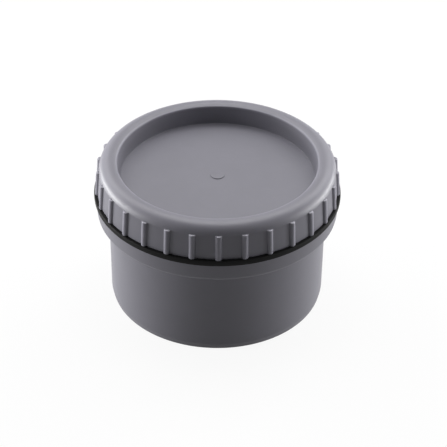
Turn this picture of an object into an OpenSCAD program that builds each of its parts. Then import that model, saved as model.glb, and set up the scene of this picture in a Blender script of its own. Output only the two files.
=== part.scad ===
// Screwed access end cap for a drain pipe: a plain spigot body with an inside
// thread, a flat rubber ring and a ribbed screw cap with a recessed top.
// The origin is the centre of the spigot's open end, and +Z is the axis.

/* [Spigot] */
// Outside diameter of the spigot, which is the pipe's own size
spigot_od = 110; // [90:1:160]
// Wall of the spigot
spigot_wall = 3.2; // [2.5:0.1:4]
// Length of the plain spigot below the collar
spigot_length = 47.5; // [30:0.5:80]
// Depth of the lead-in chamfer at the spigot's end, across the wall
end_chamfer = 0.6; // [0.2:0.1:1.2]
// Length of the lead-in chamfer along the spigot
end_chamfer_length = 3; // [1:0.5:6]

/* [Collar] */
// How far the collar stands out from the spigot
collar_step = 5.8; // [3:0.1:8]
// Height of the collar
collar_height = 9.8; // [9:0.1:20]
// Rounding of the collar's lower edge
collar_edge_radius = 1.4; // [0.5:0.1:1.8]

/* [Rubber ring] */
// How far the ring stands out from the collar
seal_overhang = 1.3; // [0.5:0.1:4]
// Thickness of the ring as it is squeezed
seal_thickness = 2.8; // [2:0.1:5]
// Rounding of the ring's outer edges
seal_edge = 0.5; // [0.2:0.1:0.9]
// Free play between the ring's hole and the thread that passes through it
seal_play = 0.4; // [0.3:0.1:0.8]

/* [Thread] */
// Advance of the thread in one turn
pitch = 5; // [4.5:0.1:7]
// Height of each thread ridge
thread_height = 1.6; // [1:0.1:2]
// Play between the two threads, across the axis
thread_play = 0.5; // [0.3:0.1:0.8]
// Width of a ridge at its foot
ridge_foot = 2.6; // [2:0.1:2.8]
// Width of a ridge at its crest
ridge_crest = 1.4; // [0.8:0.1:1.6]
// Wall outside the thread in the body's mouth
mouth_wall = 8.2; // [5:0.1:11]
// Lead-in chamfer at the mouth's edge and at the neck's end
lead_chamfer = 0.8; // [0.3:0.1:1.2]

/* [Cap] */
// Height of the cap above the rubber ring
cap_height = 17.6; // [12:0.1:30]
// Thickness of the cap's walls
cap_wall = 3; // [2:0.1:4]
// How far the skirt's foot stays inside the ring's outer edge
skirt_setback = 1.8; // [1:0.1:5]
// How much the skirt leans in from its foot to its shoulder
skirt_lean = 0.9; // [0.5:0.1:3]
// Rounding of the rim's outer shoulder
shoulder_radius = 6; // [3:0.1:7]
// Rounding of the rim's crown towards the recess
crown_radius = 6.2; // [5:0.1:9]
// Width of the rim, from the recess to the shoulder's outer side
rim_width = 9.2; // [8:0.1:11]
// Depth of the recess below the top of the rim
recess_depth = 10.4; // [6:0.1:12]
// Slope of the recess's wall, in degrees
recess_draft = 8; // [2:1:15]
// Rounding at the foot of the recess's wall
recess_fillet = 0.6; // [0.5:0.1:2]
// Rounding of the recess's upper edge
lip_radius = 0.6; // [0.4:0.1:1.2]
// How far the neck reaches into the body's mouth
neck_depth = 11.6; // [9:0.1:20]

/* [Grip ribs] */
// Number of ribs around the skirt
rib_count = 30; // [16:2:48]
// Width of a rib
rib_width = 2.9; // [1.5:0.1:4]
// How far a rib stands out at its foot
rib_height = 1.3; // [1:0.1:2.4]
// How far a rib stands out at its top
rib_top_height = 1.4; // [0.8:0.1:2]
// How far a rib's top stays below the top of the rim
rib_top_drop = 4.4; // [2:0.1:8]

/* [Gate mark] */
// Diameter of the round mark at the centre of the recess
gate_diameter = 7; // [3:0.5:12]
// Height of the mark
gate_height = 0.4; // [0.2:0.1:1]

/* [Hidden] */
round_steps = 180;
small_steps = 48;
steps_per_turn = 48;
runout_steps = 5;
// How deep a ridge or a rib is rooted in its wall, and how far a cut runs past a face
embed = 0.5;
over = 1;
// Bare length left at each end of a thread
thread_end = 0.4;

spigot_r = spigot_od / 2;
bore_r = spigot_r - spigot_wall;
collar_r = spigot_r + collar_step;
seal_r = collar_r + seal_overhang;

// Levels along the axis
face_z = spigot_length + collar_height;
foot_z = face_z + seal_thickness;

// The thread's radii, worked out from the body's mouth inwards
mouth_r = collar_r - mouth_wall;
neck_crest_r = mouth_r - thread_play;
neck_r = neck_crest_r - thread_height;
neck_bore_r = neck_r - cap_wall;

// Heights where the ridges start, and the turns that fit above. The mouth's ridge
// runs half a pitch from the neck's, in the middle of the gap between two turns.
ridge_end = ridge_foot / 2 + thread_end;
neck_end_z = face_z - neck_depth;
neck_thread_z = neck_end_z + ridge_end;
neck_turns = (foot_z - ridge_end - neck_thread_z) / pitch;
mouth_thread_z = neck_thread_z - pitch / 2;
mouth_turns = (face_z - lead_chamfer - ridge_end - mouth_thread_z) / pitch;
mouth_end_z = mouth_thread_z - ridge_end;

// The cap's section, measured up from its foot
skirt_r = seal_r - skirt_setback;
shoulder_c = [skirt_r - skirt_lean - shoulder_radius, cap_height - shoulder_radius];
crown_c = [shoulder_c[0], cap_height - crown_radius];
floor_z = cap_height - recess_depth;
recess_r = skirt_r - skirt_lean - rim_width;
floor_r = recess_r - recess_depth * tan(recess_draft);

// Where the line from a point touches a circle, on its outer side
function tangent_point(p, c, r) =
    let (v = c - p, d = norm(v), reach = sqrt(d * d - r * r), turn = atan2(v[1], v[0]) - asin(r / d))
    p + reach * [cos(turn), sin(turn)];

// Radius of the recess's wall at a height, set in by a distance across the wall
function recess_wall_r(z, inset = 0) = floor_r + (z - floor_z) * tan(recess_draft) + inset / cos(recess_draft);

// Centre of the lip's rounding: inside the crown's arc and beside the recess's wall
function lip_centre() =
    let (
        slope = tan(recess_draft),
        near = recess_wall_r(crown_c[1], lip_radius) - crown_c[0],
        reach = crown_radius - lip_radius,
        a = 1 + slope * slope,
        b = 2 * near * slope,
        c = near * near - reach * reach,
        rise = (-b + sqrt(b * b - 4 * a * c)) / (2 * a)
    )
    [recess_wall_r(crown_c[1] + rise, lip_radius), crown_c[1] + rise];

lip_c = lip_centre();
wall_normal = [cos(recess_draft), -sin(recess_draft)];
fillet_c = [recess_wall_r(floor_z + recess_fillet, -recess_fillet), floor_z + recess_fillet];

module disc_at(c, r) {
    translate(c) circle(r = r, $fn = small_steps);
}

// A helical ridge that stands out from a round wall. side is 1 for a ridge
// that points outwards and -1 for one that points to the axis. The ridge
// sinks into the wall at both ends, where the thread runs out.
module thread_ridge(root_r, side, turns, start_z) {
    steps = round(turns * steps_per_turn);
    function reach(i) =
        let (share = min(1, i / runout_steps, (steps - i) / runout_steps), sunk = -embed / 2)
        sunk + share * (thread_height - sunk);
    function ring(i) =
        let (
            turn = 360 * i / steps_per_turn,
            z = start_z + pitch * i / steps_per_turn,
            root = root_r - side * embed,
            crest = root_r + side * reach(i),
            across = [[root, -ridge_foot / 2], [crest, -ridge_crest / 2],
                      [crest, ridge_crest / 2], [root, ridge_foot / 2]]
        )
        [for (p = across) [p[0] * cos(turn), p[0] * sin(turn), z + p[1]]];
    points = [for (i = [0:steps]) each ring(i)];
    sides = [
        for (i = [0:steps - 1]) for (k = [0:3])
            let (a = 4 * i + k, b = 4 * i + (k + 1) % 4)
            each [[a, b, b + 4], [a, b + 4, a + 4]]
    ];
    ends = [[3, 2, 1, 0], [for (k = [0:3]) 4 * steps + k]];
    faces = concat(sides, ends);
    turned = [for (f = faces) [for (k = [len(f) - 1:-1:0]) f[k]]];
    polyhedron(points = points, faces = side > 0 ? faces : turned);
}

// Section of the body: spigot, collar and the wall of the mouth
module body_section() {
    edge_c = [collar_r - collar_edge_radius, spigot_length + collar_edge_radius];
    polygon([
        [bore_r, 0],
        [spigot_r - end_chamfer, 0],
        [spigot_r, end_chamfer_length],
        [spigot_r, spigot_length],
        [edge_c[0], spigot_length],
        edge_c,
        [collar_r, edge_c[1]],
        [collar_r, face_z],
        [mouth_r + lead_chamfer, face_z],
        [mouth_r, face_z - lead_chamfer],
        [mouth_r, mouth_end_z],
        [bore_r, mouth_end_z - (mouth_r - bore_r)]
    ]);
    disc_at(edge_c, collar_edge_radius);
}

module spigot_body() {
    color("dimgray") {
        rotate_extrude($fn = round_steps) body_section();
        thread_ridge(mouth_r, -1, mouth_turns, mouth_thread_z);
    }
}

module seal_ring() {
    color([0.08, 0.08, 0.09])
    translate([0, 0, face_z])
    rotate_extrude($fn = round_steps) {
        hole_r = neck_crest_r + seal_play;
        flat_r = seal_r - seal_edge;
        translate([hole_r, 0]) square([flat_r - hole_r, seal_thickness]);
        translate([hole_r, seal_edge]) square([seal_r - hole_r, seal_thickness - 2 * seal_edge]);
        for (z = [seal_edge, seal_thickness - seal_edge]) disc_at([flat_r, z], seal_edge);
    }
}

// The cap's outer section before it is hollowed: skirt, shoulder, crown and lip
module cap_outline() {
    foot = [skirt_r, 0];
    wedge_reach = (crown_radius + over) / norm(lip_c - crown_c);
    polygon([
        [0, 0], foot, tangent_point(foot, shoulder_c, shoulder_radius),
        shoulder_c, crown_c, lip_c, lip_c - lip_radius * wall_normal, [floor_r, floor_z], [0, floor_z]
    ]);
    disc_at(shoulder_c, shoulder_radius);
    disc_at(lip_c, lip_radius);
    intersection() {
        disc_at(crown_c, crown_radius);
        polygon([crown_c, crown_c + [0, crown_radius + over], crown_c + wedge_reach * (lip_c - crown_c)]);
    }
}

// The rounding that fills the corner between the recess's floor and its wall
module recess_corner() {
    difference() {
        polygon([
            [fillet_c[0], floor_z],
            [floor_r, floor_z],
            fillet_c + recess_fillet * wall_normal,
            fillet_c
        ]);
        disc_at(fillet_c, recess_fillet);
    }
}

// The ring-shaped hollow between the neck and the skirt
module slot_section() {
    slot_top = cap_height - cap_wall - lip_radius;
    skirt_in = skirt_r - cap_wall;
    polygon([
        [neck_r, -over],
        [neck_r, floor_z],
        [max(neck_r, recess_wall_r(slot_top) + cap_wall), slot_top],
        [skirt_in - skirt_lean * slot_top / shoulder_c[1], slot_top],
        [skirt_in, 0],
        [skirt_in, -over]
    ]);
}

// Section of the whole cap: the hollowed head and the neck below it
module cap_section() {
    neck_low = neck_end_z - foot_z;
    difference() {
        union() {
            cap_outline();
            recess_corner();
        }
        slot_section();
        translate([-over, -over]) square([neck_bore_r + over, floor_z - cap_wall + over]);
    }
    polygon([
        [neck_bore_r, over],
        [neck_bore_r, neck_low],
        [neck_r - lead_chamfer, neck_low],
        [neck_r, neck_low + lead_chamfer],
        [neck_r, over]
    ]);
}

// Half-round bars that lean in with the skirt, cut level at the foot and the top
module grip_ribs() {
    rib_top = cap_height - rib_top_drop;
    top_r = skirt_r - skirt_lean * rib_top / shoulder_c[1] + rib_top_height;
    foot_r = skirt_r + rib_height;
    lean = atan((foot_r - top_r) / rib_top);
    depth = rib_height + cap_wall / 2;
    round_r = rib_width / 2;
    intersection() {
        for (i = [0:rib_count - 1])
            rotate([0, 0, 360 * i / rib_count - 90])
            translate([foot_r, 0, 0])
            rotate([0, -lean, 0])
            translate([0, 0, -rib_width])
            linear_extrude(height = rib_top + 2 * rib_width) {
                disc_at([-round_r, 0], round_r);
                translate([-depth, -round_r]) square([depth - round_r, rib_width]);
            }
        cylinder(r = foot_r + over, h = rib_top, $fn = round_steps);
    }
}

module screw_cap() {
    color("dimgray") {
        translate([0, 0, foot_z]) {
            rotate_extrude($fn = round_steps) cap_section();
            grip_ribs();
            translate([0, 0, floor_z - cap_wall / 2])
            cylinder(d = gate_diameter, h = cap_wall / 2 + gate_height, $fn = small_steps);
        }
        thread_ridge(neck_r, 1, neck_turns, neck_thread_z);
    }
}

spigot_body();
seal_ring();
screw_cap();
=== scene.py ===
# The looks of a screwed access end cap for a drain pipe: its three moulded pieces
# with their ribs and threads, their plastic and rubber, the studio and the camera.
import math

import bpy
from mathutils import Matrix, Vector


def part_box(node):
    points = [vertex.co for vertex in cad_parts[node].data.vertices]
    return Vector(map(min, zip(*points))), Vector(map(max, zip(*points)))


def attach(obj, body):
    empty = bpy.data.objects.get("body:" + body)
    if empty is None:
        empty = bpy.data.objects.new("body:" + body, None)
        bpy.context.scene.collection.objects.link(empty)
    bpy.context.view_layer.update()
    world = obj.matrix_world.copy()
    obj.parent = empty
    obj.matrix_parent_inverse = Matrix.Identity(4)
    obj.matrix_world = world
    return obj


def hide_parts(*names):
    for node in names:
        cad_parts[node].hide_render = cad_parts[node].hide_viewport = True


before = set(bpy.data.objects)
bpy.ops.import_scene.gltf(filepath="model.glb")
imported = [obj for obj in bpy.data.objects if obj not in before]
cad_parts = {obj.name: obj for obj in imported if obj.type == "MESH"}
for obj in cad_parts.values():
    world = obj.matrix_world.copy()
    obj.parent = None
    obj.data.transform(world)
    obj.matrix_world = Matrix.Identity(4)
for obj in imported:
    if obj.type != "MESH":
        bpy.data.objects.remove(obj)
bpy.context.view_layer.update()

MM = 0.001

# Levels along the axis, read from the frame
face_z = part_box("seal_ring")[0].z
foot_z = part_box("seal_ring")[1].z
top_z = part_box("screw_cap")[1].z
neck_end_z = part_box("screw_cap")[0].z
cap_height = top_z - foot_z

# Spigot and collar
spigot_r = 55.0 * MM
bore_r = spigot_r - 3.2 * MM
spigot_length = 47.5 * MM
end_chamfer = 0.6 * MM
end_chamfer_length = 3.0 * MM
collar_r = spigot_r + 5.8 * MM
collar_edge_radius = 2.2 * MM

# Rubber ring: seal_play is the gap between its hole and the neck's thread
seal_r = collar_r + 1.3 * MM
seal_edge = 0.5 * MM
seal_play = 0.4 * MM
seal_bulge = 0.12 * MM

# Thread: a ridge with a wide foot and a narrow crest, and the gap between the two threads
pitch = 5.0 * MM
thread_height = 1.6 * MM
thread_play = 0.5 * MM
ridge_foot = 2.6 * MM
ridge_crest = 1.4 * MM
thread_end = 0.4 * MM
ridge_end = ridge_foot / 2 + thread_end
lead_chamfer = 0.8 * MM
mouth_r = collar_r - 8.2 * MM
neck_crest_r = mouth_r - thread_play
neck_r = neck_crest_r - thread_height

# Cap
cap_wall = 3.0 * MM
neck_bore_r = neck_r - cap_wall
skirt_r = seal_r - 1.8 * MM
skirt_lean = 0.9 * MM
shoulder_radius = 6.0 * MM
crown_radius = 6.2 * MM
rim_width = 9.2 * MM
recess_depth = 10.4 * MM
recess_slope = math.tan(math.radians(8))
recess_fillet = 0.25 * MM
lip_radius = 0.6 * MM
gate_r = 3.5 * MM
gate_height = 0.4 * MM

# Grip ribs: how far they stand out at the foot and at the top, and their section
rib_count = 30
rib_height = 1.3 * MM
rib_top_height = 1.4 * MM
rib_top = cap_height - 4.4 * MM
rib_flank = math.radians(75)
rib_crest = 1.65 * MM
rib_fillet = 0.2 * MM
rib_edge = 0.3 * MM
rib_top_step = 0.02 * MM
plain_above_rib = 0.8 * MM

# Roundings that every moulded edge has, and how deep a ridge is rooted in its wall
soft_edge = 0.3 * MM
inner_edge = 0.8 * MM
embed = 0.5 * MM

# Steps of round shapes
round_steps = 288
arc_steps = 10
edge_steps = 4
crest_steps = 5
thread_steps_per_turn = 120

# The share of a turn in which a thread's ridge sinks into its wall
runout_turn = 0.1

# Points nearer to each other than this are one point
merge_distance = 0.001 * MM

# Edges that turn by more than this many degrees stay sharp, and how much the flat faces count
sharp_degrees = 32
flat_face_weight = 75

# The spin operator turns clockwise about its axis, so this one makes it turn the other way
spin_axis = (0, 0, -1)

# The cap's section, measured up from its foot
shoulder_c = Vector((skirt_r - skirt_lean - shoulder_radius, cap_height - shoulder_radius))
crown_c = Vector((shoulder_c.x, cap_height - crown_radius))
floor_z = cap_height - recess_depth
floor_r = skirt_r - skirt_lean - rim_width - recess_depth * recess_slope

# The skirt's straight line starts at skirt_foot and touches the shoulder's arc at skirt_end
skirt_foot = Vector((skirt_r, 0))
to_shoulder = shoulder_c - skirt_foot
skirt_reach = math.sqrt(to_shoulder.length_squared - shoulder_radius ** 2)
tangent_turn = math.asin(shoulder_radius / to_shoulder.length)
skirt_turn = math.atan2(to_shoulder.y, to_shoulder.x) - tangent_turn
skirt_end = skirt_foot + skirt_reach * Vector((math.cos(skirt_turn), math.sin(skirt_turn)))


def arc(centre, radius, start, end, steps=arc_steps):
    """Points of a section along an arc. The angles are in degrees, from outwards to upwards."""
    turns = [math.radians(start + (end - start) * i / steps) for i in range(steps + 1)]
    return [(centre[0] + radius * math.cos(t), centre[1] + radius * math.sin(t)) for t in turns]


def rounded(corners, closed=False):
    """Points of a section whose corners (radius, height, rounding) are rounded."""
    points = []
    for i, (x, y, rounding) in enumerate(corners):
        at = Vector((x, y))
        is_end = not closed and i in (0, len(corners) - 1)
        if rounding == 0 or is_end:
            points.append((x, y))
            continue
        before = Vector(corners[i - 1][:2]) - at
        after = Vector(corners[(i + 1) % len(corners)][:2]) - at
        before.normalize()
        after.normalize()
        half = before.angle(after) / 2
        centre = at + (before + after).normalized() * rounding / math.sin(half)
        reach = rounding / math.tan(half)
        start = at + before * reach - centre
        turn = start.angle_signed(at + after * reach - centre)
        for k in range(edge_steps + 1):
            spoke = start.copy()
            spoke.rotate(Matrix.Rotation(-turn * k / edge_steps, 2))
            points.append(tuple(centre + spoke))
    return points


def recess_wall_r(z, inset=0.0):
    """Radius of the recess's wall at a height, set in by a distance across the wall."""
    return floor_r + (z - floor_z) * recess_slope + inset * math.hypot(1, recess_slope)


def lip_centre():
    """Centre of the lip's rounding: inside the crown's arc and beside the recess's wall."""
    near = recess_wall_r(crown_c.y, lip_radius) - crown_c.x
    reach = crown_radius - lip_radius
    a = 1 + recess_slope ** 2
    b = 2 * near * recess_slope
    c = near ** 2 - reach ** 2
    rise = (-b + math.sqrt(b * b - 4 * a * c)) / (2 * a)
    return Vector((recess_wall_r(crown_c.y + rise, lip_radius), crown_c.y + rise))


def skirt_at(z):
    """Radius of the skirt's outer side at a height above its foot."""
    if z <= skirt_end.y:
        return skirt_r + (skirt_end.x - skirt_r) * z / skirt_end.y
    return shoulder_c.x + math.sqrt(shoulder_radius ** 2 - (z - shoulder_c.y) ** 2)


def deselect_all():
    """Leaves nothing selected and no mesh in edit mode."""
    if bpy.context.object and bpy.context.object.mode != "OBJECT":
        bpy.ops.object.mode_set(mode="OBJECT")
    bpy.ops.object.select_all(action="DESELECT")


def pick(piece):
    """Makes a piece the only one selected, and the active one."""
    deselect_all()
    piece.select_set(True)
    bpy.context.view_layer.objects.active = piece


def draw_section(name, points, closed):
    """Draws a section in the X-Z plane, one extruded vertex after another."""
    deselect_all()
    bpy.ops.mesh.primitive_plane_add(size=MM, location=(0, 0, 0))
    piece = bpy.context.object
    piece.name = name
    piece.data.name = name
    bpy.ops.object.mode_set(mode="EDIT")
    bpy.ops.mesh.merge(type="CENTER")
    bpy.ops.transform.translate(value=(points[0][0], 0, points[0][1]))
    loop = points + points[:1] if closed else points
    for here, there in zip(loop, loop[1:]):
        step = (there[0] - here[0], 0, there[1] - here[1])
        bpy.ops.mesh.extrude_vertices_move(TRANSFORM_OT_translate={"value": step})
    bpy.ops.mesh.select_all(action="SELECT")
    bpy.ops.mesh.remove_doubles(threshold=merge_distance)
    return piece


def close_and_turn_out():
    """Merges what meets in the mesh being edited and points its faces outwards."""
    bpy.ops.mesh.select_all(action="SELECT")
    bpy.ops.mesh.remove_doubles(threshold=merge_distance)
    bpy.ops.mesh.normals_make_consistent(inside=False)
    bpy.ops.object.mode_set(mode="OBJECT")


def lathe(name, points):
    """A piece that is round all the way: its closed section, spun about the axis."""
    piece = draw_section(name, points, closed=True)
    bpy.ops.mesh.spin(steps=round_steps, angle=2 * math.pi, center=(0, 0, 0), axis=spin_axis)
    close_and_turn_out()
    return piece


def apply_modifier(piece, name, kind, settings):
    """Adds a modifier to a piece and applies it."""
    pick(piece)
    modifier = piece.modifiers.new(name, kind)
    for key, value in settings.items():
        setattr(modifier, key, value)
    bpy.ops.object.modifier_apply(modifier=name)


def fuse(piece, other):
    """Joins another closed shape to a piece as one skin, as a mould makes it.
    The faces at the join are cut down to triangles and quads, and none is left without area."""
    union = {"operation": "UNION", "solver": "EXACT", "object": other}
    apply_modifier(piece, "fuse", "BOOLEAN", union)
    bpy.data.objects.remove(other)
    pick(piece)
    bpy.ops.object.mode_set(mode="EDIT")
    bpy.ops.mesh.select_mode(type="FACE")
    bpy.ops.mesh.select_all(action="DESELECT")
    bpy.ops.mesh.select_face_by_sides(number=4, type="GREATER")
    bpy.ops.mesh.quads_convert_to_tris(ngon_method="BEAUTY")
    bpy.ops.mesh.select_all(action="SELECT")
    bpy.ops.mesh.dissolve_degenerate(threshold=merge_distance)
    bpy.ops.mesh.select_mode(type="VERT")
    bpy.ops.object.mode_set(mode="OBJECT")


def smooth(piece):
    """Smooth shading that keeps sharp edges and leaves the flat faces flat."""
    pick(piece)
    bpy.ops.object.shade_smooth_by_angle(angle=math.radians(sharp_degrees))
    weighted = {"keep_sharp": True, "weight": flat_face_weight}
    apply_modifier(piece, "flat faces", "WEIGHTED_NORMAL", weighted)


def thread_ridge(name, root_r, side, turns, start_z):
    """A helical ridge with a rounded crest that sinks into its wall at both ends.
    side is 1 for a ridge that points outwards and -1 for one that points to the axis."""
    root = root_r - side * embed
    crest = root_r + side * thread_height
    corners = [
        (root, start_z - ridge_foot / 2, 0),
        (crest, start_z - ridge_crest / 2, soft_edge),
        (crest, start_z + ridge_crest / 2, soft_edge),
        (root, start_z + ridge_foot / 2, 0),
    ]
    ridge = draw_section(name, rounded(corners, closed=True), closed=True)
    bpy.ops.object.mode_set(mode="OBJECT")
    section_points = len(ridge.data.vertices)
    steps = round(turns * thread_steps_per_turn)
    apply_modifier(ridge, "helix", "SCREW", {
        "axis": "Z",
        "angle": 2 * math.pi * turns,
        "screw_offset": pitch * turns,
        "steps": steps,
        "render_steps": steps,
        "use_merge_vertices": False,
    })
    runout = runout_turn * thread_steps_per_turn
    sunk_r = root_r - side * embed / 2
    for i, vertex in enumerate(ridge.data.vertices):
        step = i // section_points
        share = min(1, step / runout, (steps - step) / runout)
        radius = math.hypot(vertex.co.x, vertex.co.y)
        if (radius - sunk_r) * side > 0:
            scale = (sunk_r + (radius - sunk_r) * share) / radius
            vertex.co.x *= scale
            vertex.co.y *= scale
    pick(ridge)
    bpy.ops.object.mode_set(mode="EDIT")
    bpy.ops.mesh.select_all(action="DESELECT")
    bpy.ops.mesh.select_non_manifold(extend=False)
    bpy.ops.mesh.fill_holes(sides=0)
    close_and_turn_out()
    return ridge


def spigot_body():
    """The plain spigot, its collar and the threaded mouth. The mouth's ridge starts
    half a pitch below the neck's, so that each runs in the other's groove."""
    start_z = neck_end_z + ridge_end - pitch / 2
    mouth_end_z = start_z - ridge_end
    corners = [
        (bore_r, 0, soft_edge),
        (spigot_r - end_chamfer, 0, soft_edge),
        (spigot_r, end_chamfer_length, inner_edge),
        (spigot_r, spigot_length, soft_edge),
        (collar_r, spigot_length, collar_edge_radius),
        (collar_r, face_z, soft_edge),
        (mouth_r + lead_chamfer, face_z, soft_edge / 2),
        (mouth_r, face_z - lead_chamfer, soft_edge / 2),
        (mouth_r, mouth_end_z, soft_edge),
        (bore_r, mouth_end_z - (mouth_r - bore_r), soft_edge),
    ]
    body = lathe("body_moulding", rounded(corners, closed=True))
    turns = (face_z - lead_chamfer - ridge_end - start_z) / pitch
    fuse(body, thread_ridge("mouth_thread", mouth_r, -1, turns, start_z))
    smooth(body)
    return body


def seal_ring():
    """The flat rubber ring, squeezed so that its outer side bulges a little."""
    hole_r = neck_crest_r + seal_play
    middle_z = (face_z + foot_z) / 2
    corners = [
        (hole_r, face_z, soft_edge),
        (seal_r - seal_bulge, face_z, seal_edge),
        (seal_r, middle_z, 2 * seal_edge),
        (seal_r - seal_bulge, foot_z, seal_edge),
        (hole_r, foot_z, soft_edge),
    ]
    ring = lathe("rubber_ring", rounded(corners, closed=True))
    smooth(ring)
    return ring


def rib_columns(wall_r, stand, inset=0.0):
    """Half of one rib and of the wall beside it at one level, as (out, across) points:
    the round crest, the flank, its root's fillet, and the wall up to halfway to the next rib."""
    out_of_flank = Vector((math.cos(rib_flank), math.sin(rib_flank)))
    crest_c = Vector((wall_r + stand - rib_crest, 0))
    points = [
        crest_c + (rib_crest - inset) * Vector((math.cos(t), math.sin(t)))
        for t in (rib_flank * i / crest_steps for i in range(crest_steps + 1))
    ]
    flank_reach = crest_c.dot(out_of_flank) + rib_crest + rib_fillet
    root_r = wall_r + rib_fillet
    root_turn = rib_flank - math.acos(flank_reach / root_r)
    out_of_wall = Vector((math.cos(root_turn), math.sin(root_turn)))
    root_c = root_r * out_of_wall
    fillet = [
        root_c - (rib_fillet + inset) * out_of_flank.slerp(out_of_wall, share)
        for share in (0, 0.5, 1)
    ]
    points.append((points[-1] + fillet[0]) / 2)
    points += fillet
    for share in (1 / 3, 2 / 3, 1):
        turn = root_turn + (math.pi / rib_count - root_turn) * share
        points.append((wall_r - inset) * Vector((math.cos(turn), math.sin(turn))))
    return points


def ledge_columns(wall_r, stand, inset):
    """The same at a rib's flat top. Only the rib is set in there, and the wall beside it isn't."""
    points = []
    for place in rib_columns(wall_r, stand, inset):
        points.append(place * max(1, wall_r / place.length))
    return points


def wall_columns(wall_r):
    """The same where a rib's flat top meets the wall behind it."""
    return [
        (math.sqrt(wall_r ** 2 - across ** 2), across)
        for _, across in rib_columns(wall_r, rib_top_height)
    ]


def rib_rows():
    """The levels of the skirt that carry the ribs: (radius, height, points of the half rib)."""
    rows = []
    for turn in (90, 60, 30, 0):
        inset = soft_edge * (1 - math.cos(math.radians(turn)))
        z = soft_edge * (1 - math.sin(math.radians(turn)))
        rows.append((skirt_at(z) - inset, z, rib_columns(skirt_at(z), rib_height, inset)))
    for turn in (0, 45, 90):
        z = rib_top - rib_edge * (1 - math.sin(math.radians(turn)))
        inset = rib_edge * (1 - math.cos(math.radians(turn)))
        outline = ledge_columns(skirt_at(z), rib_top_height, inset)
        rows.append((skirt_at(z), z, outline))
    wall_z = rib_top + rib_top_step
    rows.append((skirt_at(wall_z), wall_z, wall_columns(skirt_at(wall_z))))
    return rows


def cap_section():
    """The cap's section from the recess's centre over the rim to the centre below the floor."""
    lip_c = lip_centre()
    lip_turn = math.degrees(math.atan2(lip_c.y - crown_c.y, lip_c.x - crown_c.x))
    wall_turn = 180 - math.degrees(math.atan(recess_slope))
    fillet_c = (recess_wall_r(floor_z + recess_fillet, -recess_fillet), floor_z + recess_fillet)
    plain_z = rib_top + plain_above_rib
    plain_turn = math.degrees(math.asin((plain_z - shoulder_c.y) / shoulder_radius))
    gate = rounded([
        (0, floor_z + gate_height, 0),
        (gate_r, floor_z + gate_height, soft_edge / 2),
        (gate_r, floor_z, soft_edge / 3),
        (floor_r / 2, floor_z, 0),
    ])
    top = (
        gate
        + arc(fillet_c, recess_fillet, -90, wall_turn - 180, edge_steps + 2)
        + arc(lip_c, lip_radius, wall_turn, lip_turn, edge_steps + 2)
        + arc(crown_c, crown_radius, lip_turn, 90)[1:]
        + arc(shoulder_c, shoulder_radius, 90, plain_turn)[1:]
    )
    skirt_in = skirt_r - cap_wall
    slot_top = cap_height - cap_wall - lip_radius
    slot_in = max(neck_r, recess_wall_r(slot_top) + cap_wall)
    slot_out = skirt_in - skirt_lean * slot_top / shoulder_c.y
    neck_low = neck_end_z - foot_z
    under = rounded([
        (skirt_r - inner_edge, 0, 0),
        (skirt_in, 0, soft_edge),
        (slot_out, slot_top, inner_edge),
        (slot_in, slot_top, inner_edge),
        (neck_r, floor_z, 0),
        (neck_r, neck_low + lead_chamfer, soft_edge),
        (neck_r - lead_chamfer, neck_low, soft_edge),
        (neck_bore_r, neck_low, soft_edge),
        (neck_bore_r, floor_z - cap_wall, inner_edge),
        (0, floor_z - cap_wall, 0),
    ])
    return top, under[1:]


def shape_rib(cap, ribbed, half_columns, sector):
    """Moves the points of a spun sector at the ribbed levels onto the rib in its middle."""
    for vertex in cap.data.vertices:
        radius = math.hypot(vertex.co.x, vertex.co.y)
        turn = math.atan2(vertex.co.y, vertex.co.x)
        column = round(turn / sector * 2 * half_columns) - half_columns
        for row_r, z, outline in ribbed:
            if math.hypot(radius - row_r, vertex.co.z - z) < merge_distance / 10:
                out, across = outline[abs(column)]
                vertex.co = (out, math.copysign(across, column), z)
                vertex.co.rotate(Matrix.Rotation(sector / 2, 3, "Z"))
                break


def screw_cap():
    """The ribbed cap: one sector with its rib is shaped and then copied round the axis."""
    top, under = cap_section()
    ribbed = list(reversed(rib_rows()))
    points = top + [row[:2] for row in ribbed] + under
    cap = draw_section("cap_moulding", points, closed=False)
    half_columns = len(ribbed[0][2]) - 1
    sector = 2 * math.pi / rib_count
    bpy.ops.mesh.spin(steps=2 * half_columns, angle=sector, center=(0, 0, 0), axis=spin_axis)
    bpy.ops.object.mode_set(mode="OBJECT")
    shape_rib(cap, ribbed, half_columns, sector)
    pick(cap)
    bpy.ops.object.mode_set(mode="EDIT")
    bpy.ops.mesh.select_all(action="SELECT")
    copies = rib_count - 1
    bpy.ops.mesh.spin(
        steps=copies, dupli=True, angle=sector * copies, center=(0, 0, 0), axis=spin_axis
    )
    close_and_turn_out()
    rib_to_front = Matrix.Rotation(-math.pi / 2 - sector / 2, 4, "Z")
    cap.data.transform(Matrix.Translation((0, 0, foot_z)) @ rib_to_front)
    start_z = neck_end_z + ridge_end
    turns = (foot_z - ridge_end - start_z) / pitch
    fuse(cap, thread_ridge("neck_thread", neck_r, 1, turns, start_z))
    smooth(cap)
    return cap


class Value:
    """A value inside a material, on which plain arithmetic adds the Math nodes."""

    def __init__(self, finish, socket):
        self.finish = finish
        self.socket = socket

    def math(self, operation, first, second):
        return self.finish.node("ShaderNodeMath", {"operation": operation}, {0: first, 1: second})

    def __add__(self, other):
        return self.math("ADD", self, other)

    def __radd__(self, other):
        return self.math("ADD", other, self)

    def __sub__(self, other):
        return self.math("SUBTRACT", self, other)

    def __rsub__(self, other):
        return self.math("SUBTRACT", other, self)

    def __mul__(self, other):
        return self.math("MULTIPLY", self, other)

    def __rmul__(self, other):
        return self.math("MULTIPLY", other, self)

    def __pow__(self, other):
        return self.math("POWER", self, other)


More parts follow.
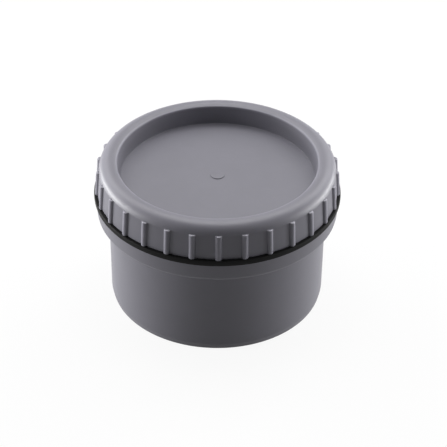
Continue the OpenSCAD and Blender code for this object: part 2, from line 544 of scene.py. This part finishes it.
class Finish:
    """A material or a world that is being made, and the one way in which nodes are added to it."""

    def __init__(self, owner):
        self.owner = owner
        self.owner.use_nodes = True
        self.tree = owner.node_tree
        self.tree.nodes.clear()

    def node(self, kind, settings=None, sockets=None, output=0):
        """Adds a node, sets it up first and then fills its sockets with values or links."""
        made = self.tree.nodes.new(kind)
        for key, value in (settings or {}).items():
            setattr(made, key, value)
        for key, value in (sockets or {}).items():
            if isinstance(value, Value):
                self.tree.links.new(value.socket, made.inputs[key])
            else:
                made.inputs[key].default_value = value
        return Value(self, made.outputs[output]) if made.outputs else None

    def place(self):
        """Where a point lies, in metres from the middle of the spigot's open end."""
        return self.node("ShaderNodeTexCoord", output="Object")

    def noise(self, place, scale, detail, roughness):
        """Soft random patches, from 0 to 1."""
        sockets = {"Vector": place, "Scale": scale, "Detail": detail, "Roughness": roughness}
        return self.node("ShaderNodeTexNoise", None, sockets, "Fac")

    def axis(self, place, name):
        """One coordinate of a place: X, Y or Z."""
        return self.node("ShaderNodeSeparateXYZ", None, {0: place}, name)

    def between(self, value, low, high):
        """0 below the low value, 1 above the high one, and an even slope between them."""
        sockets = {0: value, 1: low, 2: high}
        return self.node("ShaderNodeMapRange", {"clamp": True}, sockets)

    def blend(self, share, first, second):
        """A colour between two colours."""
        return self.node("ShaderNodeMix", {"data_type": "RGBA"}, {0: share, 6: first, 7: second}, 2)

    def bump(self, height, distance, strength, normal=None):
        """Tilts the surface by a height pattern, on top of an earlier tilt if there is one."""
        sockets = {"Height": height, "Distance": distance, "Strength": strength}
        if normal is not None:
            sockets["Normal"] = normal
        return self.node("ShaderNodeBump", None, sockets)

    def mix_shader(self, share, first, second):
        """A shader between two shaders."""
        return self.node("ShaderNodeMixShader", None, {0: share, 1: first, 2: second})

    def surface(self, sockets):
        """Ends the material with one shader."""
        shader = self.node("ShaderNodeBsdfPrincipled", None, sockets)
        self.node("ShaderNodeOutputMaterial", None, {"Surface": shader})
        return self.owner


# The plastic of the body and of the cap: how pale each is, and their share of extra blue
body_level = 0.150
cap_level = 0.155
plastic_tint = 0.18


def grey(level, tint=0.0):
    """A grey as a colour, with a little more blue where there is a tint."""
    return (level * (1 + tint / 8), level, level * (1 + tint), 1.0)


def painted_highlight_places(finish, place):
    """Where the highlight is painted: 1 on the fronts of the grip ribs and less on the recess's
    lip, down to 0 elsewhere.
    """
    crest_from = 0.1 * MM
    crest_full = 0.7 * MM
    lip_share = 0.5
    lip_fade = 0.4 * MM
    x = finish.axis(place, "X")
    y = finish.axis(place, "Y")
    height = finish.axis(place, "Z") - foot_z
    reach = (x * x + y * y) ** 0.5
    lean = (skirt_r - skirt_end.x) / skirt_end.y
    crests = finish.between(reach - (skirt_r - height * lean), crest_from, crest_full)
    lip_c = lip_centre()
    from_lip = ((reach - lip_c.x) ** 2 + (height - lip_c.y) ** 2) ** 0.5
    lip = lip_share - lip_share * finish.between(from_lip, lip_radius, lip_radius + lip_fade)
    return crests.math("MAXIMUM", crests, lip)


def moulded_plastic(name, level, tint, painted_highlight=None):
    """Satin grey drain plastic: faint flow patches, a fine skin grain and light rubbing marks.
    Where painted_highlight says, the colour is paler as a painted highlight; painted_highlight is a
    function that says where that is."""
    patch_share = 0.6
    unevenness = 0.1
    highlight_paler = 1.6
    mark_squeeze = (1, 1, 14)
    plain_roughness = 0.42
    mark_roughness = 0.06
    finish = Finish(bpy.data.materials.new(name))
    place = finish.place()
    patches = finish.noise(place, scale=70.0, detail=3.0, roughness=0.6)
    cloud = finish.noise(place, scale=16.0, detail=2.0, roughness=0.5)
    shade = patches * patch_share + cloud * (1 - patch_share)
    darker = grey(level * (1 - unevenness), tint)
    paler = grey(level * (1 + unevenness), tint)
    colour = finish.blend(shade, darker, paler)
    # Painted highlight: the rib fronts and the lip get a paler colour that stands in for the light
    # they catch
    if painted_highlight:
        colour = finish.blend(painted_highlight(finish, place), colour, grey(level * highlight_paler, tint))
    grain = finish.noise(place, scale=2400.0, detail=2.0, roughness=0.6)
    ripple = finish.noise(place, scale=140.0, detail=2.0, roughness=0.4)
    wavy = finish.bump(ripple, distance=0.05 * MM, strength=0.5)
    skin = finish.bump(grain, distance=0.01 * MM, strength=0.5, normal=wavy)
    squeezed = {"Vector": place, "Scale": mark_squeeze}
    along = finish.node("ShaderNodeMapping", {"vector_type": "POINT"}, squeezed)
    marks = finish.noise(along, scale=90.0, detail=4.0, roughness=0.7)
    return finish.surface({
        "Base Color": colour,
        "Roughness": plain_roughness + marks * mark_roughness,
        "Normal": skin,
        "IOR": 1.5,
    })


def black_rubber():
    """Matt black rubber with a fine pitted skin and a greyer bloom in places."""
    black = grey(0.004)
    bloomed = grey(0.008)
    plain_roughness = 0.55
    bloom_roughness = 0.15
    finish = Finish(bpy.data.materials.new("black_rubber"))
    place = finish.place()
    bloom = finish.noise(place, scale=45.0, detail=3.0, roughness=0.6)
    pits = finish.noise(place, scale=1700.0, detail=3.0, roughness=0.7)
    return finish.surface({
        "Base Color": finish.blend(bloom, black, bloomed),
        "Roughness": plain_roughness + bloom * bloom_roughness,
        "Normal": finish.bump(pits, distance=0.05 * MM, strength=0.6),
        "Specular IOR Level": 0.1,
    })


def white_to_camera(finish):
    """1 for what the camera sees, straight or in a gloss or through glass, and 0 for other rays."""
    kinds = ("Is Camera Ray", "Is Glossy Ray", "Is Transmission Ray")
    seen = finish.node("ShaderNodeLightPath", output=kinds[0])
    for kind in kinds[1:]:
        seen = seen.math("MAXIMUM", seen, finish.node("ShaderNodeLightPath", output=kind))
    return seen


def pale_floor():
    """A pale floor that shows nearly white and keeps a soft shadow."""
    floor_grey = 0.2
    seen_grey = 0.8
    shadow_share = 0.08
    finish = Finish(bpy.data.materials.new("pale_floor"))
    matt = finish.node("ShaderNodeBsdfDiffuse", None, {"Color": grey(floor_grey)})
    bright = finish.node("ShaderNodeBsdfDiffuse", None, {"Color": grey(seen_grey)})
    white = finish.node("ShaderNodeEmission", None, {"Color": grey(1.0), "Strength": 1.0})
    seen_floor = finish.mix_shader(shadow_share, white, bright)
    shader = finish.mix_shader(white_to_camera(finish), matt, seen_floor)
    finish.node("ShaderNodeOutputMaterial", None, {"Surface": shader})
    return finish.owner


def floor():
    """The ground that the spigot's open end stands on."""
    floor_size = 6
    deselect_all()
    bpy.ops.mesh.primitive_plane_add(size=floor_size, location=(0, 0, 0))
    ground = bpy.context.object
    ground.name = "ground"
    ground.data.materials.append(pale_floor())


# The light from all round, as a share of white
ambient = 0.01

# Lamps: where each stands round the object (0 is the camera's side and 90 the right), how
# high in degrees, how far off, how wide and how tall in metres, and its power in watts
LAMPS = {
    "overhead": (180, 70, 0.9, 0.6, 0.6, 5.1),
    "left": (270, 12, 0.8, 0.4, 0.3, 3.2),
    "right": (90, 12, 0.8, 0.4, 0.3, 2.3),
    "left_behind": (225, 40, 0.9, 0.5, 0.5, 3.0),
    "right_behind": (135, 40, 0.9, 0.5, 0.5, 3.4),
    "left_low": (250, 3, 0.8, 0.5, 0.12, 6.3),
    "right_low": (110, 3, 0.8, 0.5, 0.12, 4.6),
}


def world_light():
    """Dim, even light from all round, before a white background."""
    finish = Finish(bpy.data.worlds.new("studio"))
    bpy.context.scene.world = finish.owner
    dim = finish.node("ShaderNodeBackground", None, {"Color": grey(1.0), "Strength": ambient})
    white = finish.node("ShaderNodeBackground", None, {"Color": grey(1.0), "Strength": 1.0})
    shader = finish.mix_shader(white_to_camera(finish), dim, white)
    finish.node("ShaderNodeOutputWorld", None, {"Surface": shader})


def direction(turn, rise):
    """The way out from the object at a turn round it (0 is in front, and it grows to the right)."""
    across = math.cos(rise)
    return Vector((math.sin(turn) * across, -math.cos(turn) * across, math.sin(rise)))


def lamps():
    """Soft lamps that face the middle of the object."""
    aim = Vector((0, 0, top_z / 2))
    for name, (round_turn, rise, distance, wide, tall, power) in LAMPS.items():
        way = direction(math.radians(round_turn), math.radians(rise))
        light = bpy.data.lights.new(name, "AREA")
        light.shape = "RECTANGLE"
        light.size = wide
        light.size_y = tall
        light.energy = power
        lamp = bpy.data.objects.new(name, light)
        bpy.context.scene.collection.objects.link(lamp)
        lamp.location = aim + way * distance
        lamp.rotation_euler = way.to_track_quat("Z", "Y").to_euler()


def camera():
    """The photograph's camera: above the object and in front of it, looking down on it."""
    frame_width = 447
    focal_pixels = 1499.0
    target_left_of_middle = 6.39
    target_below_middle = 2.05
    distance = 0.770
    turn = math.radians(-0.72)
    elevation = math.radians(36.22)
    roll = 0.0079
    aim = Vector((0, 0, 0.036))
    data = bpy.data.cameras.new("camera")
    data.sensor_fit = "HORIZONTAL"
    data.sensor_width = 36
    data.lens = data.sensor_width * focal_pixels / frame_width
    data.shift_x = target_left_of_middle / frame_width
    data.shift_y = target_below_middle / frame_width
    data.clip_start = 0.01
    view = bpy.data.objects.new("camera", data)
    bpy.context.scene.collection.objects.link(view)
    way = direction(turn, elevation)
    view.matrix_world = (
        Matrix.Translation(aim + way * distance)
        @ way.to_track_quat("Z", "Y").to_matrix().to_4x4()
        @ Matrix.Rotation(roll, 4, "Z")
    )
    bpy.context.scene.camera = view


def put_on(piece, material, body, node):
    """Gives a piece its material, hangs it under its body and hides the CAD node it stands for."""
    piece.data.materials.clear()
    piece.data.materials.append(material)
    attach(piece, body)
    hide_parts(node)


camera()
bpy.context.scene.view_settings.view_transform = "Standard"
world_light()
lamps()
floor()

body = spigot_body()
body_grey = moulded_plastic("spigot_grey", body_level, plastic_tint)
put_on(body, body_grey, "body", "spigot_body")

ring = seal_ring()
put_on(ring, black_rubber(), "ring", "seal_ring")

cap = screw_cap()
# The cap's plastic carries the painted highlight on its rib fronts and its lip
cap_grey = moulded_plastic("cap_grey", cap_level, plastic_tint, painted_highlight_places)
put_on(cap, cap_grey, "cap", "screw_cap")
